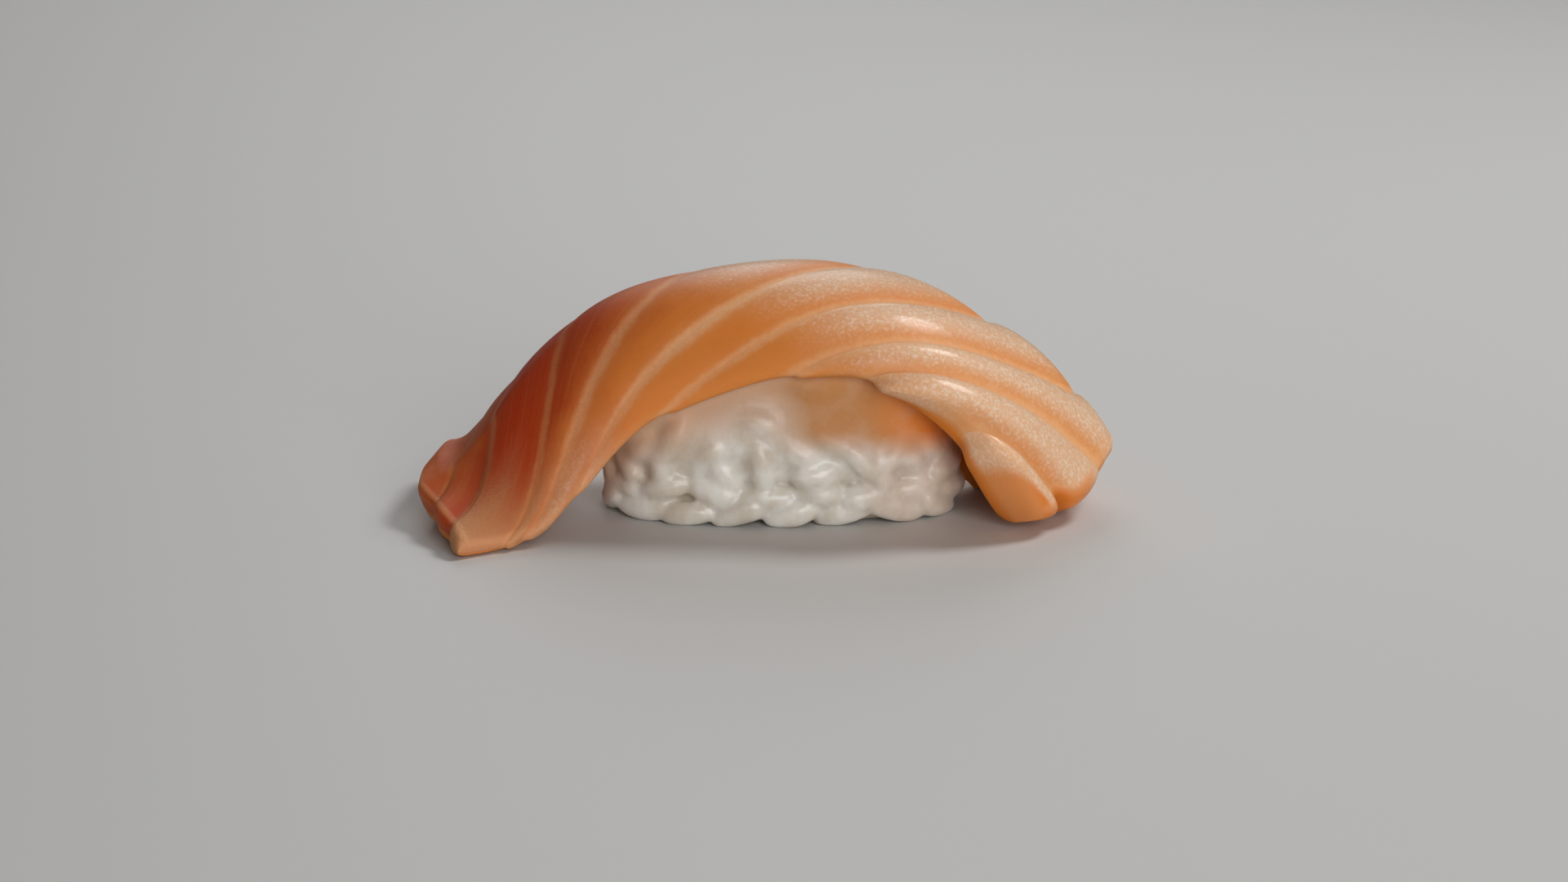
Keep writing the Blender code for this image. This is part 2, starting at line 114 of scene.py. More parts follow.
FLAKE_SPREAD = 0.16               # over so much of it to either side,
FLAKE_GROOVE = 0.8                # in a groove this deep
FLAKE_ACROSS = (-0.55, -0.8)      # between these places across,
FLAKE_NOTCH = 0.022               # and a notch in the cut end of this share of the length

# ---- The ball of rice: a rounded block with a flat foot, covered in grains.
RICE_HALF_LENGTH = 21.6
RICE_HALF_WIDTH = 11.4
RICE_MIDDLE = 9.0                 # height of its widest level
RICE_HEIGHT = 24.4
RICE_BELOW = 20.0                 # depth of the rounding below that level, cut off by the foot
RICE_SQUARENESS = 2.6             # exponent of the superellipsoid
BROW = 2.6                        # how far the rice swells forward to meet the slice's near rim
BROW_DEPTH = (2.2, 6.2)           # how far down that swelling reaches, at the left and at the right
BROW_FROM = (-1.0, 5.0)           # between these places it deepens from the one to the other
BROW_FRONT = (-3.0, -9.0)         # it grows from nothing to its full size between these places
BROW_POWER = 1.6                  # the larger, the nearer the rim it lies
GRAIN_TURN = 0.7                  # spread of the grains' turn away from the block's length, radians
ROW_LEVELS = (1.5, 4.0)           # heights of the two lowest rows, whose grains lie nearly level
ROW_GRAINS = 17                   # grains in each of them
ROW_TURN = 0.22                   # spread of their turn
ROW_UNEVEN = 0.4                  # and of their height
ROWS_TOP = 5.2                    # the other grains lie above this height
OVERHANG = (4.0, 1.8)             # the slice keeps the rice down to this far beyond its long rims
NEAREST_STEPS = 25                # steps towards the nearest place of the underside,
NEAREST_MOVE = 0.1               # none of them longer than this in a or v,
NEAREST_INSIDE = 0.985            # and none nearer an edge than this

CAD_CELLS = (56, 20)        # cells of the solid's slice, which the frame's box is measured on
END_CROWDING = 0.6          # the slice's cells crowd towards its ends
RIM_CROWDING = 0.55         # and its long rims
SLICE_CELLS = (340, 130)    # cells of the slice's surface along and across
GRAIN_RINGS = 11
GRAIN_SIDES = 12

# Looks of the seams, one row for each from the left: how strongly the fat shows and how wide it is in
# millimetres, each at the near rim, the middle of the near flank and the crown.
FAT_SHOWS = [(0.3, 0.45, 0.3), (0.6, 0.6, 0.45), (0.5, 0.6, 0.5), (0.45, 0.85, 0.8), (0.45, 1.0, 0.95),
             (0.55, 0.8, 0.95), (0.65, 0.9, 0.9), (0.5, 0.9, 0.8), (0.6, 0.85, 0.8), (0.5, 0.5, 0.5)]
FAT_WIDE = [(0.5, 0.5, 0.5), (0.7, 0.5, 0.5), (0.5, 0.5, 0.55), (0.5, 0.85, 0.8), (0.6, 0.95, 0.85),
            (0.55, 0.75, 0.8), (0.8, 0.9, 0.8), (1.0, 0.9, 0.8), (0.9, 0.8, 0.7), (0.7, 0.7, 0.7)]


# ------------------------------------------------------------------ shapes shared by the pieces

def smooth_step(x):
    """0 below 0, 1 above 1, and smooth between."""
    x = np.clip(x, 0.0, 1.0)
    return x * x * (3.0 - 2.0 * x)


def ramp(x, start, end):
    """0 at start, 1 at end, and smooth between."""
    return smooth_step((x - start) / (end - start))


def guide(points, t):
    """Natural cubic spline through evenly spaced points, read at t in 0..1 or just past either end."""
    points = np.asarray(points, float)
    last = len(points) - 1
    system = np.eye(last + 1)
    bend = np.zeros_like(points)
    for i in range(1, last):
        system[i, i - 1:i + 2] = 1.0, 4.0, 1.0
        bend[i] = 6.0 * (points[i + 1] - 2.0 * points[i] + points[i - 1])
    bend = np.linalg.solve(system, bend)
    place = t * last
    i = np.clip(place.astype(int), 0, last - 1)
    f = (place - i)[..., None]
    g = 1.0 - f
    return g * points[i] + f * points[i + 1] + ((g**3 - g) * bend[i] + (f**3 - f) * bend[i + 1]) / 6.0


def seam_number(a, v):
    """Smooth count of the fat seams from the left: a whole number lies on a seam.

    a runs 0..1 along the slice and v -1..1 from the near rim over the crown to the far rim. Each point
    is slid along its seam's lean to the middle of the near flank, and the seams are counted there.
    """
    across = v + 0.5
    reach = across * (1.0 - SEAM_BEND * across)
    foot = np.array(a, float)
    for _ in range(SLIDE_STEPS):
        foot = a - np.interp(foot, SEAM_AT, SEAM_LEAN) * reach
    before = (foot - SEAM_AT[0]) / (SEAM_AT[1] - SEAM_AT[0])
    return np.where(foot < SEAM_AT[0], before, np.interp(foot, SEAM_AT, np.arange(len(SEAM_AT))))


def fullness(number):
    """0 on a seam, 1 at the crest of the flesh between two seams, which lies nearer the left seam."""
    phase = number - np.floor(number)
    return np.abs(np.sin(math.pi * phase ** CREST_SHIFT)) ** 0.8


def lobe(number):
    """0 on a seam, 1 a little right of it, and slowly back to 0 at the next."""
    phase = number - np.floor(number)
    return ramp(phase, *LOBE_RISE) * ramp(phase, *LOBE_FALL)


def lip(number):
    """1 where the near rim is a thick lip, 0 where it is a thin feather edge."""
    return ramp(number - LIP_SEAM, *LIP_START)


def flake_gap(number):
    """1 where the last flake parts from the rest, falling to 0 to either side."""
    return np.exp(-((number - FLAKE_SEAM) / FLAKE_SPREAD) ** 2)


def middle(a, v):
    """Middle surface: across the slice it runs along an elliptical arc from the crown to each rim.

    The flesh between seams bulges out over the rims and the cut ends.
    """
    number = seam_number(a, v)
    along = 2.0 * a - 1.0
    wave = RIM_WAVE * (lobe(number) - 0.5)
    wave = np.where(v < 0.0, wave + lip(number) * (LIP_WAVE * lobe(number) - wave), wave)
    s = np.abs(v) * (1.0 + wave * v**6 * (1.0 - along**30))
    a = a + LEFT_END_WAVE * (fullness(number) - 0.5) * np.minimum(along, 0.0)**15 * (1.0 - v**6)
    bulge = -RIGHT_END_BULGE * np.sin(math.pi * np.minimum(v, 0.0)) - FLAKE_NOTCH * flake_gap(number)
    a = a + bulge * np.maximum(along, 0.0)**15
    near, crown, far = (guide(points, a) for points in (NEAR_RIM, CROWN, FAR_RIM))
    wrap = np.radians(WRAP_MIDDLE - (WRAP_MIDDLE - WRAP_ENDS) * np.abs(2.0 * a - 1.0) ** WRAP_POWER)
    rim = np.where((v < 0.0)[..., None], near, far)
    out = (np.sin(s * wrap) / np.sin(wrap))[..., None]
    up = (np.cos(s * wrap) - np.cos(wrap)) / (1.0 - np.cos(wrap))
    point = crown + (rim - crown) * out
    point[..., 2] = rim[..., 2] + (crown - rim)[..., 2] * up
    return point


def outward(a, v):
    """Unit normal of the middle surface, away from the rice."""
    step = 1e-4
    a = np.clip(a, step, 1.0 - step)
    v = np.clip(v, -1.0 + step, 1.0 - step)
    along = middle(a + step, v) - middle(a - step, v)
    across = middle(a, v + step) - middle(a, v - step)
    normal = np.cross(along, across)
    return normal / np.linalg.norm(normal, axis=-1, keepdims=True)


def flank_thickness(a, v):
    """Thickness without seams and rounded edges: it thins from the crown towards both long rims."""
    thinning = np.where(v < 0.0, NEAR_THINNING + (LIP_THINNING - NEAR_THINNING) * lip(seam_number(a, v)),
                        FAR_THINNING)
    return (THICK_LEFT + (THICK_RIGHT - THICK_LEFT) * a) * (1.0 - thinning * np.abs(v)**THINNING_POWER)


def rounding(a, v):
    """1 over most of the slice, falling to 0 at the long rims and the cut ends, which it rounds off."""
    s = np.abs(v)
    half_width = np.linalg.norm(guide(NEAR_RIM, a) - guide(CROWN, a), axis=-1)
    rim = np.clip(1.0 - (1.0 - s) * half_width / RIM_ROUND, 0.0, 1.0)
    end = np.clip(1.0 - (0.5 - np.abs(a - 0.5)) / END_ROUND, 0.0, 1.0)
    return ((1.0 - rim**3) * (1.0 - end**3)) ** (1.0 / 3.0)


def relief(a, v):
    """Height of the flesh over the plain top: pillows between grooves along the seams."""
    number = seam_number(a, v)
    height = (BAND_LOW + (BAND_RIGHT - BAND_LOW) * ramp(a, *BAND_FROM_RIGHT)
              + (BAND_LEFT - BAND_LOW) * ramp(a, *BAND_FROM_LEFT))
    step = REAR_FLAP_STEP * ramp(number, *FLAP_SEAMS) * ramp(a, *FLAP_ALONG) * ramp(v, *FLAP_ACROSS)
    swell = END_SWELL * ramp(a, *SWELL_ALONG)
    curl = END_CURL * ramp(a, *CURL_ALONG) * ramp(v, *CURL_ACROSS)
    groove = FLAKE_GROOVE * flake_gap(number) * ramp(v, *FLAKE_ACROSS)
    return height * (fullness(number) - BAND_MEAN) - step + swell + curl - groove


def underside(a, v):
    """Lower surface of the slice, as if it weren't rounded off at its edges."""
    return middle(a, v) - outward(a, v) * (flank_thickness(a, v) / 2.0)[..., None]


def under_slice(points):
    """For points: the height over the slice's underside (negative is below it), the normal there, and
    how much the slice covers the point: 1 under it, falling to 0 a little beyond its long rims.

    The nearest place (a, v) of the underside is found by Newton steps from a first guess.
    """
    first, last = CROWN[0][0], CROWN[-1][0]
    inside, step = NEAREST_INSIDE, 1e-3
    a = np.clip((points[:, 0] - first) / (last - first), 1.0 - inside, inside)
    v = np.clip(points[:, 1] / FAR_RIM[3][1], -inside, inside)
    for _ in range(NEAREST_STEPS):
        here = underside(a, v)
        along = (underside(a + step, v) - here) / step
        across = (underside(a, v + step) - here) / step
        off = points - here
        aa, av, vv = (along * along).sum(1), (along * across).sum(1), (across * across).sum(1)
        ra, rv = (along * off).sum(1), (across * off).sum(1)
        det = aa * vv - av * av
        move = np.clip([(ra * vv - rv * av) / det, (rv * aa - ra * av) / det], -NEAREST_MOVE, NEAREST_MOVE)
        a = np.clip(a + move[0], 1.0 - inside, inside)
        v = np.clip(v + move[1], -inside, inside)
    normal = outward(a, v)
    off = points - underside(a, v)
    beyond = (off * across).sum(1) / np.linalg.norm(across, axis=1) * np.sign(v)
    return (off * normal).sum(1), normal, ramp(beyond, *OVERHANG)


def rice_core(direction):
    """Radius of the rounded block along unit directions from its middle (superellipsoid)."""
    depth = np.where(direction[:, 2] > 0.0, RICE_HEIGHT - RICE_MIDDLE, RICE_BELOW)
    size = np.stack([np.full(len(direction), RICE_HALF_LENGTH), np.full(len(direction), RICE_HALF_WIDTH),
                     depth], axis=1)
    total = (np.abs(direction / size) ** RICE_SQUARENESS).sum(axis=1)
    return total ** (-1.0 / RICE_SQUARENESS)


def press(points, gap):
    """The points, with those less than a gap under the slice's underside pushed further under it."""
    height, normal, covered = under_slice(points)
    push = np.minimum(-gap - height, 0.0) * covered
    points = points + normal * push[:, None]
    points[:, 2] = np.maximum(points[:, 2], 0.0)
    return points


def below_rim(points):
    """How far points at the front lie below the slice's near rim, as a share of the brow's depth there:
    0 at the rim and above it, 1 where the brow ends."""
    rim = middle(np.linspace(0.0, 1.0, 200), np.full(200, -1.0))
    level = np.interp(points[:, 0], rim[:, 0], rim[:, 2])
    depth = BROW_DEPTH[0] + (BROW_DEPTH[1] - BROW_DEPTH[0]) * ramp(points[:, 0], *BROW_FROM)
    return np.clip((level - points[:, 2]) / depth, 0.0, 1.0)


def swell_brow(points):
    """The rice swells forward to meet the near rim, most at the rim's height."""
    points = points.copy()
    points[:, 1] -= BROW * ramp(points[:, 1], *BROW_FRONT) * (1.0 - below_rim(points)) ** BROW_POWER
    return points


def to_frame(points):
    """Design millimetres to the frame's metres: the slice's box centre is brought over the frame's."""
    a, v = slice_grid(*CAD_CELLS)
    normal = outward(a, v)
    half = flank_thickness(a, v) * rounding(a, v) / 2.0
    top = middle(a, v) + normal * (half + relief(a, v) * rounding(a, v))[..., None]
    low = middle(a, v) - normal * half[..., None]
    skin = np.concatenate([top.reshape(-1, 3), low.reshape(-1, 3)])
    low, high = (np.array(corner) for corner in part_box("salmon_slice"))
    shift = (low + high) / 2.0 - (skin.min(0) + skin.max(0)) / 2.0 * MM
    shift[2] = 0.0
    return points * MM + shift


def slice_grid(along, across):
    """Grid of (a, v) with cells that crowd towards the edges."""
    t = np.linspace(0.0, 1.0, along + 1)
    a = t - END_CROWDING * np.sin(2.0 * math.pi * t) / (2.0 * math.pi)
    u = np.linspace(-1.0, 1.0, across + 1)
    v = (1.0 - RIM_CROWDING) * u + RIM_CROWDING * np.sin(u * math.pi / 2.0)
    return np.meshgrid(a, v, indexing="ij")


def new_piece(name, points, faces, material):
    """A smooth mesh object from points in metres and an array of faces."""
    mesh = bpy.data.meshes.new(name)
    mesh.from_pydata(points.reshape(-1, 3), [], faces)
    mesh.shade_smooth()
    mesh.materials.append(material)
    mesh.update()
    piece = bpy.data.objects.new(name, mesh)
    bpy.context.scene.collection.objects.link(piece)
    return piece


def add_attribute(piece, name, values):
    attribute = piece.data.attributes.new(name, "FLOAT", "POINT")
    attribute.data.foreach_set("value", np.ascontiguousarray(values.ravel(), np.float32))


# ------------------------------------------------------------------ shader maths

class Wire:
    """An output socket. Arithmetic on it adds Math nodes, and node() makes any other node."""

    def __init__(self, tree, socket=None):
        self.tree = tree
        self.socket = socket

    def node(self, kind, settings=None, inputs=None, output=0):
        """A node of that kind: its settings first, then its sockets' values or wires."""
        made = self.tree.nodes.new(kind)
        for name, value in (settings or {}).items():
            if name == "stops":
                stops = made.color_ramp.elements
                for _ in value[2:]:
                    stops.new(0.5)
                for stop, (place, colour) in zip(stops, value):
                    stop.position = place
                    stop.color = (*colour, 1.0)
            else:
                setattr(made, name, value)
        for key, value in (inputs or {}).items():
            if isinstance(value, Wire):
                self.tree.links.new(value.socket, made.inputs[key])
            else:
                made.inputs[key].default_value = value
        return Wire(self.tree, made.outputs[output])

    def math(self, operation, *values):
        return self.node("ShaderNodeMath", {"operation": operation}, dict(enumerate(values)))

    def __add__(self, other):
        return self.math("ADD", self, other)

    def __sub__(self, other):
        return self.math("SUBTRACT", self, other)

    def __mul__(self, other):
        return self.math("MULTIPLY", self, other)

    def __truediv__(self, other):
        return self.math("DIVIDE", self, other)

    def __pow__(self, other):
        return self.math("POWER", self, other)

    def __radd__(self, other):
        return self.math("ADD", other, self)

    def __rsub__(self, other):
        return self.math("SUBTRACT", other, self)

    def __rmul__(self, other):
        return self.math("MULTIPLY", other, self)

    def step(self, low, high, out_low=0.0, out_high=1.0):
        """Smooth step of this value from low to high."""
        return self.node("ShaderNodeMapRange", {"interpolation_type": "SMOOTHSTEP"},
                         {0: self, 1: low, 2: high, 3: out_low, 4: out_high})

    def blend(self, first, second):
        """Colour between two colours, this value being the factor."""
        first, second = (c if isinstance(c, Wire) else (*c, 1.0) for c in (first, second))
        return self.node("ShaderNodeMix", {"data_type": "RGBA"}, {0: self, 6: first, 7: second}, 2)

    def attribute(self, name):
        return self.node("ShaderNodeAttribute", {"attribute_name": name}, output=2)

    def noise(self, vector, scale, detail=2.0, roughness=0.5):
        return self.node("ShaderNodeTexNoise", {}, {"Vector": vector, "Scale": scale, "Detail": detail,
                                                    "Roughness": roughness})


def new_material(name):
    """An empty material, a wire to start from and its Principled shader."""
    material = bpy.data.materials.new(name)
    material.use_nodes = True
    tree = material.node_tree
    return material, Wire(tree), tree.nodes["Principled BSDF"]


def plug(shader, **sockets):
    """Feed wires or constants into a shader's sockets; an underscore stands for a space."""
    for name, value in sockets.items():
        socket = shader.inputs[name.replace("_", " ")]
        if isinstance(value, Wire):
            value.tree.links.new(value.socket, socket)
        else:
            socket.default_value = value


def flesh_material(fish):
    """Raw salmon: flesh toned from dark red to pale orange, partly its own colour and partly painted shade at
    the left and painted light at the right, fat seams with ragged edges, a pale veil that fades from each seam
    towards the next, partly pale flesh and partly painted sheen with speckles of painted glints, saturated
    cut faces, partly painted glow of flesh in shade, a thin pale rim painted as a highlight along the cut
    edges, and a moist, finely broken shine."""
    material, start, shader = new_material("salmon_flesh")
    place = start.node("ShaderNodeTexCoord", output=3)
    seam, band, tone, pale, tan, fat, wide, edge, cut = (
        start.attribute(name) for name in ("seam", "band_mm", "tone", "pale", "tan", "fat", "fat_mm", "edge", "cut"))
    off = seam + (start.noise(place, 260.0, 3.0) - 0.5) * fish.seam_wobble * 2.0 / band
    from_left = off - off.math("FLOOR", off)
    phase = off - off.math("FLOOR", off + 0.5)
    distance = off.math("ABSOLUTE", phase * band) / (wide * fish.fat_width)
    ragged = (start.noise(place, 800.0, 3.0, 0.65) - 0.5) * 1.2
    line = (1.7 - distance + ragged).step(0.0, 1.5) * fat
    glow = (3.5 - distance).step(0.0, 3.5) * fat * 0.14
    # The veil fades from each seam to the next: partly pale flesh, partly painted sheen on the lit crests.
    veil = from_left.step(1.0, 0.42) * pale
    mottled = start.noise(place, 170.0, 4.0, 0.6)
    fine = start.noise(place, 2200.0, 3.0, 0.6)
    fibres = start.noise(start.node("ShaderNodeCombineXYZ", {}, {0: seam * 5.0, 1: tone * 3.0, 2: pale}),
                         4.0, 3.0, 0.6)
    # The flesh ramp runs from dark red, partly painted shade, to pale orange, partly painted light.
    flesh = start.node("ShaderNodeValToRGB", {"stops": [
        (0.0, fish.flesh_dark), (0.25, fish.flesh_red), (0.55, fish.flesh_middle), (1.0, fish.flesh_right)]},
        {"Fac": tone + (mottled - 0.5) * 0.22})
    flesh = (fibres.step(0.4, 0.8) * 0.07).blend(flesh, fish.fat_colour)
    bright = tone.step(0.25, 0.6)
    # Brownish tan on the left tips, partly painted shade.
    flesh = (tan * (0.9 + 0.9 * (mottled - 0.5))).blend(flesh, fish.tan_colour)
    # The veil over the flesh: partly pale flesh, partly painted sheen on the lit crests.
    flesh = (veil * (0.85 + 0.9 * (fine - 0.5))).blend(flesh, bright.blend(fish.tan_colour, fish.veil_colour))
    # Whitish speckles over the veil on the bright flesh: painted glints.
    flesh = (fine.step(0.50, 0.64) * veil * bright * 0.55).blend(flesh, fish.glint_speckle_colour)
    seam_colour = bright.blend(fish.thin_fat_colour, fish.fat_colour)
    colour = (line * (0.7 + 0.7 * (fine - 0.5)) + glow).blend(flesh, seam_colour)
    # Saturated orange of the cut faces, partly painted glow of flesh in shade, and painted glow on the shaded
    # underside.
    colour = cut.blend(colour, fish.cut_glow_colour)
    # The pale rim along the cut edges: a painted rim highlight.
    colour = (edge * 0.3).blend(colour, fish.fat_colour)
    height = (fine - 0.5) * (0.4 + 2.0 * veil) + (mottled - 0.5) * 1.2 + line * 0.25
    bump = start.node("ShaderNodeBump", {}, {"Strength": 0.5, "Distance": 0.00016, "Height": height})
    rough = 0.40 + 0.16 * mottled - 0.20 * veil * bright
    plug(shader, Base_Color=colour, Roughness=rough, Normal=bump, Metallic=0.0,
         Subsurface_Weight=fish.translucency, Subsurface_Radius=(1.0, 0.6, 0.4), Subsurface_Scale=0.0008,
         IOR=1.38, Specular_IOR_Level=0.22, Coat_Weight=0.30 * veil * bright, Coat_Roughness=0.16)
    return material


def rice_material(rice):
    """Cooked rice: starchy white, a little clear, glossy where moist, darkened between the grains as painted shade,
    and tinted near the fish by painted reflection of its colour and painted shade.
    """
    material, start, shader = new_material("cooked_rice")
    place = start.node("ShaderNodeTexCoord", output=3)
    stain = start.attribute("stain")
    deep = start.attribute("deep")
    rich = start.attribute("rich")
    cloudy = start.noise(place, 260.0, 3.0, 0.55).step(0.3, 0.7)
    colour = cloudy.blend(rice.clear_colour, rice.white_colour)
    # Darker in the hollows between the grains: painted shade.
    colour = (deep * 0.8).blend(colour, rice.gap_shade_colour)
    # Painted reflection of the fish's colour and painted shade near the fish, with a deep orange painted glow under
    # the lip.
    colour = (stain + (cloudy - 0.5) * 0.25 * stain).blend(colour, rich.blend(rice.bounce_shade_colour, rice.lip_glow_colour))
    fine = start.noise(place, 1500.0, 2.0)
    bump = start.node("ShaderNodeBump", {}, {"Strength": 0.4, "Distance": 0.00014, "Height": fine})
    plug(shader, Base_Color=colour, Roughness=0.30 + 0.16 * fine + 0.25 * stain, Normal=bump, Metallic=0.0,
         Subsurface_Weight=rice.translucency, Subsurface_Radius=(1.0, 0.85, 0.7), Subsurface_Scale=0.0014,
         IOR=1.4, Coat_Weight=0.35 - 0.35 * stain, Coat_Roughness=0.12)
    return material


# ------------------------------------------------------------------ settings

class FishSettings(bpy.types.PropertyGroup):
    fat_width: FloatProperty(name="Fat line width", default=1.0, min=0.2, max=3.0,
                             description="Factor on the widths of the fat seams")
    seam_wobble: FloatProperty(name="Seam wobble", default=0.30, min=0.0, max=2.0,
                               description="How far a seam strays from its line, in millimetres")
    translucency: FloatProperty(name="Translucency", default=0.55, min=0.0, max=1.0, subtype="FACTOR",
                                description="Share of the light that scatters inside the flesh")
    # The darker flesh colours carry painted shade besides the flesh's own colour, and the right one carries painted
    # light.
    flesh_dark: FloatVectorProperty(name="Flesh, darkest", subtype="COLOR", default=(0.56, 0.040, 0.004),
                                    description="Colour of the flesh where it is darkest, at the upper left")
    flesh_red: FloatVectorProperty(name="Flesh, left", subtype="COLOR", default=(0.50, 0.066, 0.010),
                                   description="Colour of the flesh on the left")
    flesh_middle: FloatVectorProperty(name="Flesh, middle", subtype="COLOR", default=(0.76, 0.24, 0.042),
                                      description="Colour of the flesh in the middle")
    flesh_right: FloatVectorProperty(name="Flesh, right", subtype="COLOR", default=(0.76, 0.29, 0.052),
                                     description="Colour of the flesh at the thick right end")
    # Saturated orange of the cut faces, partly painted glow of flesh in shade; on the underside, painted glow.
    cut_glow_colour: FloatVectorProperty(name="Cut face", subtype="COLOR", default=(0.78, 0.23, 0.025),
                                    description="Colour of the blunt end's cut face")
    # The veil colour: partly pale flesh, partly painted sheen.
    veil_colour: FloatVectorProperty(name="Veil", subtype="COLOR", default=(0.84, 0.58, 0.39),
                                     description="Colour of the pale flesh beside the seams on the right")
    # Brownish tan, partly painted shade on the lower left tips.
    tan_colour: FloatVectorProperty(name="Tan", subtype="COLOR", default=(0.55, 0.27, 0.115),
                                    description="Colour of the tan flesh at the tips of the left end")
    # Whitish speckles over the veil: painted glints.
    glint_speckle_colour: FloatVectorProperty(name="Grain of the veil", subtype="COLOR", default=(0.95, 0.76, 0.60),
                                      description="Colour of the fine fat grains in the pale flesh")
    thin_fat_colour: FloatVectorProperty(name="Fat, left", subtype="COLOR", default=(0.85, 0.33, 0.12),
                                         description="Colour of the thin seams in the dark flesh")
    fat_colour: FloatVectorProperty(name="Fat", subtype="COLOR", default=(0.90, 0.50, 0.26),
                                    description="Colour of the fat seams")


class RiceSettings(bpy.types.PropertyGroup):
    grains: IntProperty(name="Grains", default=290, min=50, max=800,
                        description="Grains over the whole ball")
    seed: IntProperty(name="Seed", default=11, description="Seed of the grains' turns and sizes")
    grain_half: FloatVectorProperty(name="Grain half size", default=(3.8, 1.7, 1.45), min=0.2,
                                    description="Half length, width and thickness of a grain, millimetres")
    sink: FloatProperty(name="Grain sink", default=0.9, min=0.0, max=3.0,
                        description="Depth of a grain's middle under the block's surface, millimetres")
    uneven: FloatProperty(name="Unevenness", default=0.4, min=0.0, max=2.0,
                          description="Spread of the grains' depths, millimetres")
    core_low: FloatProperty(name="Core inset, low", default=1.8, min=0.5, max=5.0,
                            description="Depth of the core under the block's surface at the foot, millimetres")
    core_high: FloatProperty(name="Core inset, high", default=0.0, min=-0.5, max=5.0,
                             description="The same at the top, where the grains are fused, millimetres")
    voxel: FloatProperty(name="Fineness", default=0.32, min=0.2, max=1.0,
                         description="Size of the cells in which the grains stick together, millimetres")
    softening: IntProperty(name="Softening", default=14, min=0, max=50,
                           description="Rounds of smoothing of the fused grains")
    translucency: FloatProperty(name="Translucency", default=0.7, min=0.0, max=1.0, subtype="FACTOR",
                                description="Share of the light that scatters inside a grain")
    white_colour: FloatVectorProperty(name="White", subtype="COLOR", default=(0.87, 0.84, 0.78),
                                      description="Colour of a grain's starchy parts")
    clear_colour: FloatVectorProperty(name="Clear", subtype="COLOR", default=(0.68, 0.61, 0.51),
                                      description="Colour of a grain's clear parts")
    # Darker colour in the hollows between the grains: painted shade.
    gap_shade_colour: FloatVectorProperty(name="Deep", subtype="COLOR", default=(0.42, 0.33, 0.22),
                                     description="Colour between the grains")
    # Painted reflection of the fish's colour and painted shade on the rice, and the painted glow under the lip.
    bounce_shade_colour: FloatVectorProperty(name="Stain", subtype="COLOR", default=(0.60, 0.28, 0.10),
                                      description="Colour of the rice under the fish's edge")
    lip_glow_colour: FloatVectorProperty(name="Rich stain", subtype="COLOR", default=(0.84, 0.27, 0.045),
                                     description="Colour of the stain under the thick lip")


class StageSettings(bpy.types.PropertyGroup):
    lens: FloatProperty(name="Lens", default=85.0, min=20.0, max=200.0,
                        description="Focal length, in millimetres")
    distance: FloatProperty(name="Distance", default=0.45, min=0.1, max=5.0, unit="LENGTH",
                            description="From the camera to the middle of the piece")
    elevation: FloatProperty(name="Elevation", default=math.radians(15.0), subtype="ANGLE",
                             description="Angle at which the camera looks down")
    floor_colour: FloatVectorProperty(name="Floor", subtype="COLOR", default=(0.66, 0.655, 0.64),
                                      description="Colour of the floor")
    key: FloatProperty(name="Key light", default=2.0, min=0.0, max=500.0, unit="POWER",
                       description="Power of the softbox at the upper right")
    fill: FloatProperty(name="Fill light", default=3.2, min=0.0, max=500.0, unit="POWER",
                        description="Power of the softbox in front")
    rim: FloatProperty(name="Rim light", default=0.9, min=0.0, max=500.0, unit="POWER",
                       description="Power of the softbox behind")
    sky: FloatProperty(name="Sky", default=0.10, min=0.0, max=5.0,
                       description="Strength of the even light from all round")


# ------------------------------------------------------------------ operators

def slice_surface():
    """Closed surface of the slice: a top and an underside over one grid of (a, v), sharing their edge.

    The top stands off the middle surface by half the thickness and the relief, the underside by half
    the thickness; both fade to nothing at the edge."""
    a, v = slice_grid(*SLICE_CELLS)
    normal = outward(a, v)
    round_off = rounding(a, v)
    half = flank_thickness(a, v) * round_off / 2.0
    top = middle(a, v) + normal * (half + relief(a, v) * round_off)[..., None]
    low = middle(a, v) - normal * half[..., None]
    rows, columns = a.shape
    above = np.arange(rows * columns).reshape(rows, columns)
    below = above.copy()
    below[1:-1, 1:-1] = rows * columns + np.arange((rows - 2) * (columns - 2)).reshape(rows - 2, -1)
    points = np.concatenate([top.reshape(-1, 3), low[1:-1, 1:-1].reshape(-1, 3)])

    def quads(index, flip):
        corners = [index[:-1, :-1], index[1:, :-1], index[1:, 1:], index[:-1, 1:]]
        if flip:
            corners.reverse()
        return np.stack(corners, axis=-1).reshape(-1, 4)

    faces = np.concatenate([quads(above, False), quads(below, True)])

    def both(field):
        return np.concatenate([field.ravel(), field[1:-1, 1:-1].ravel()])

    number = seam_number(a, v)
    by_a = np.linalg.norm(np.gradient(top, axis=0), axis=-1)
    by_v = np.linalg.norm(np.gradient(top, axis=1), axis=-1)
    slope = np.hypot(np.gradient(number, axis=0) / np.maximum(by_a, 0.02),
                     np.gradient(number, axis=1) / np.maximum(by_v, 0.02))
    band = np.clip(1.0 / np.maximum(slope, 0.02), 3.0, 40.0)
    fields = {"seam": both(number), "band_mm": both(band)}
    for name, (above_field, below_field) in slice_looks(a, v, number).items():
        fields[name] = np.concatenate([above_field.ravel(), below_field[1:-1, 1:-1].ravel()])
    return points, faces, fields


def along_seam(table, number, v):
    """Reads a table with a row for each seam and columns for near rim, near flank and crown."""
    row = np.array(table)[np.clip(np.round(number).astype(int), 0, len(table) - 1)]
    flank = smooth_step((v + 1.0) / 0.5)[..., None]
    crown = smooth_step((v + 0.5) / 0.5)[..., None]
    low = row[..., 0:1] * (1.0 - flank) + row[..., 1:2] * flank
    return (low * (1.0 - crown) + row[..., 2:3] * crown)[..., 0]


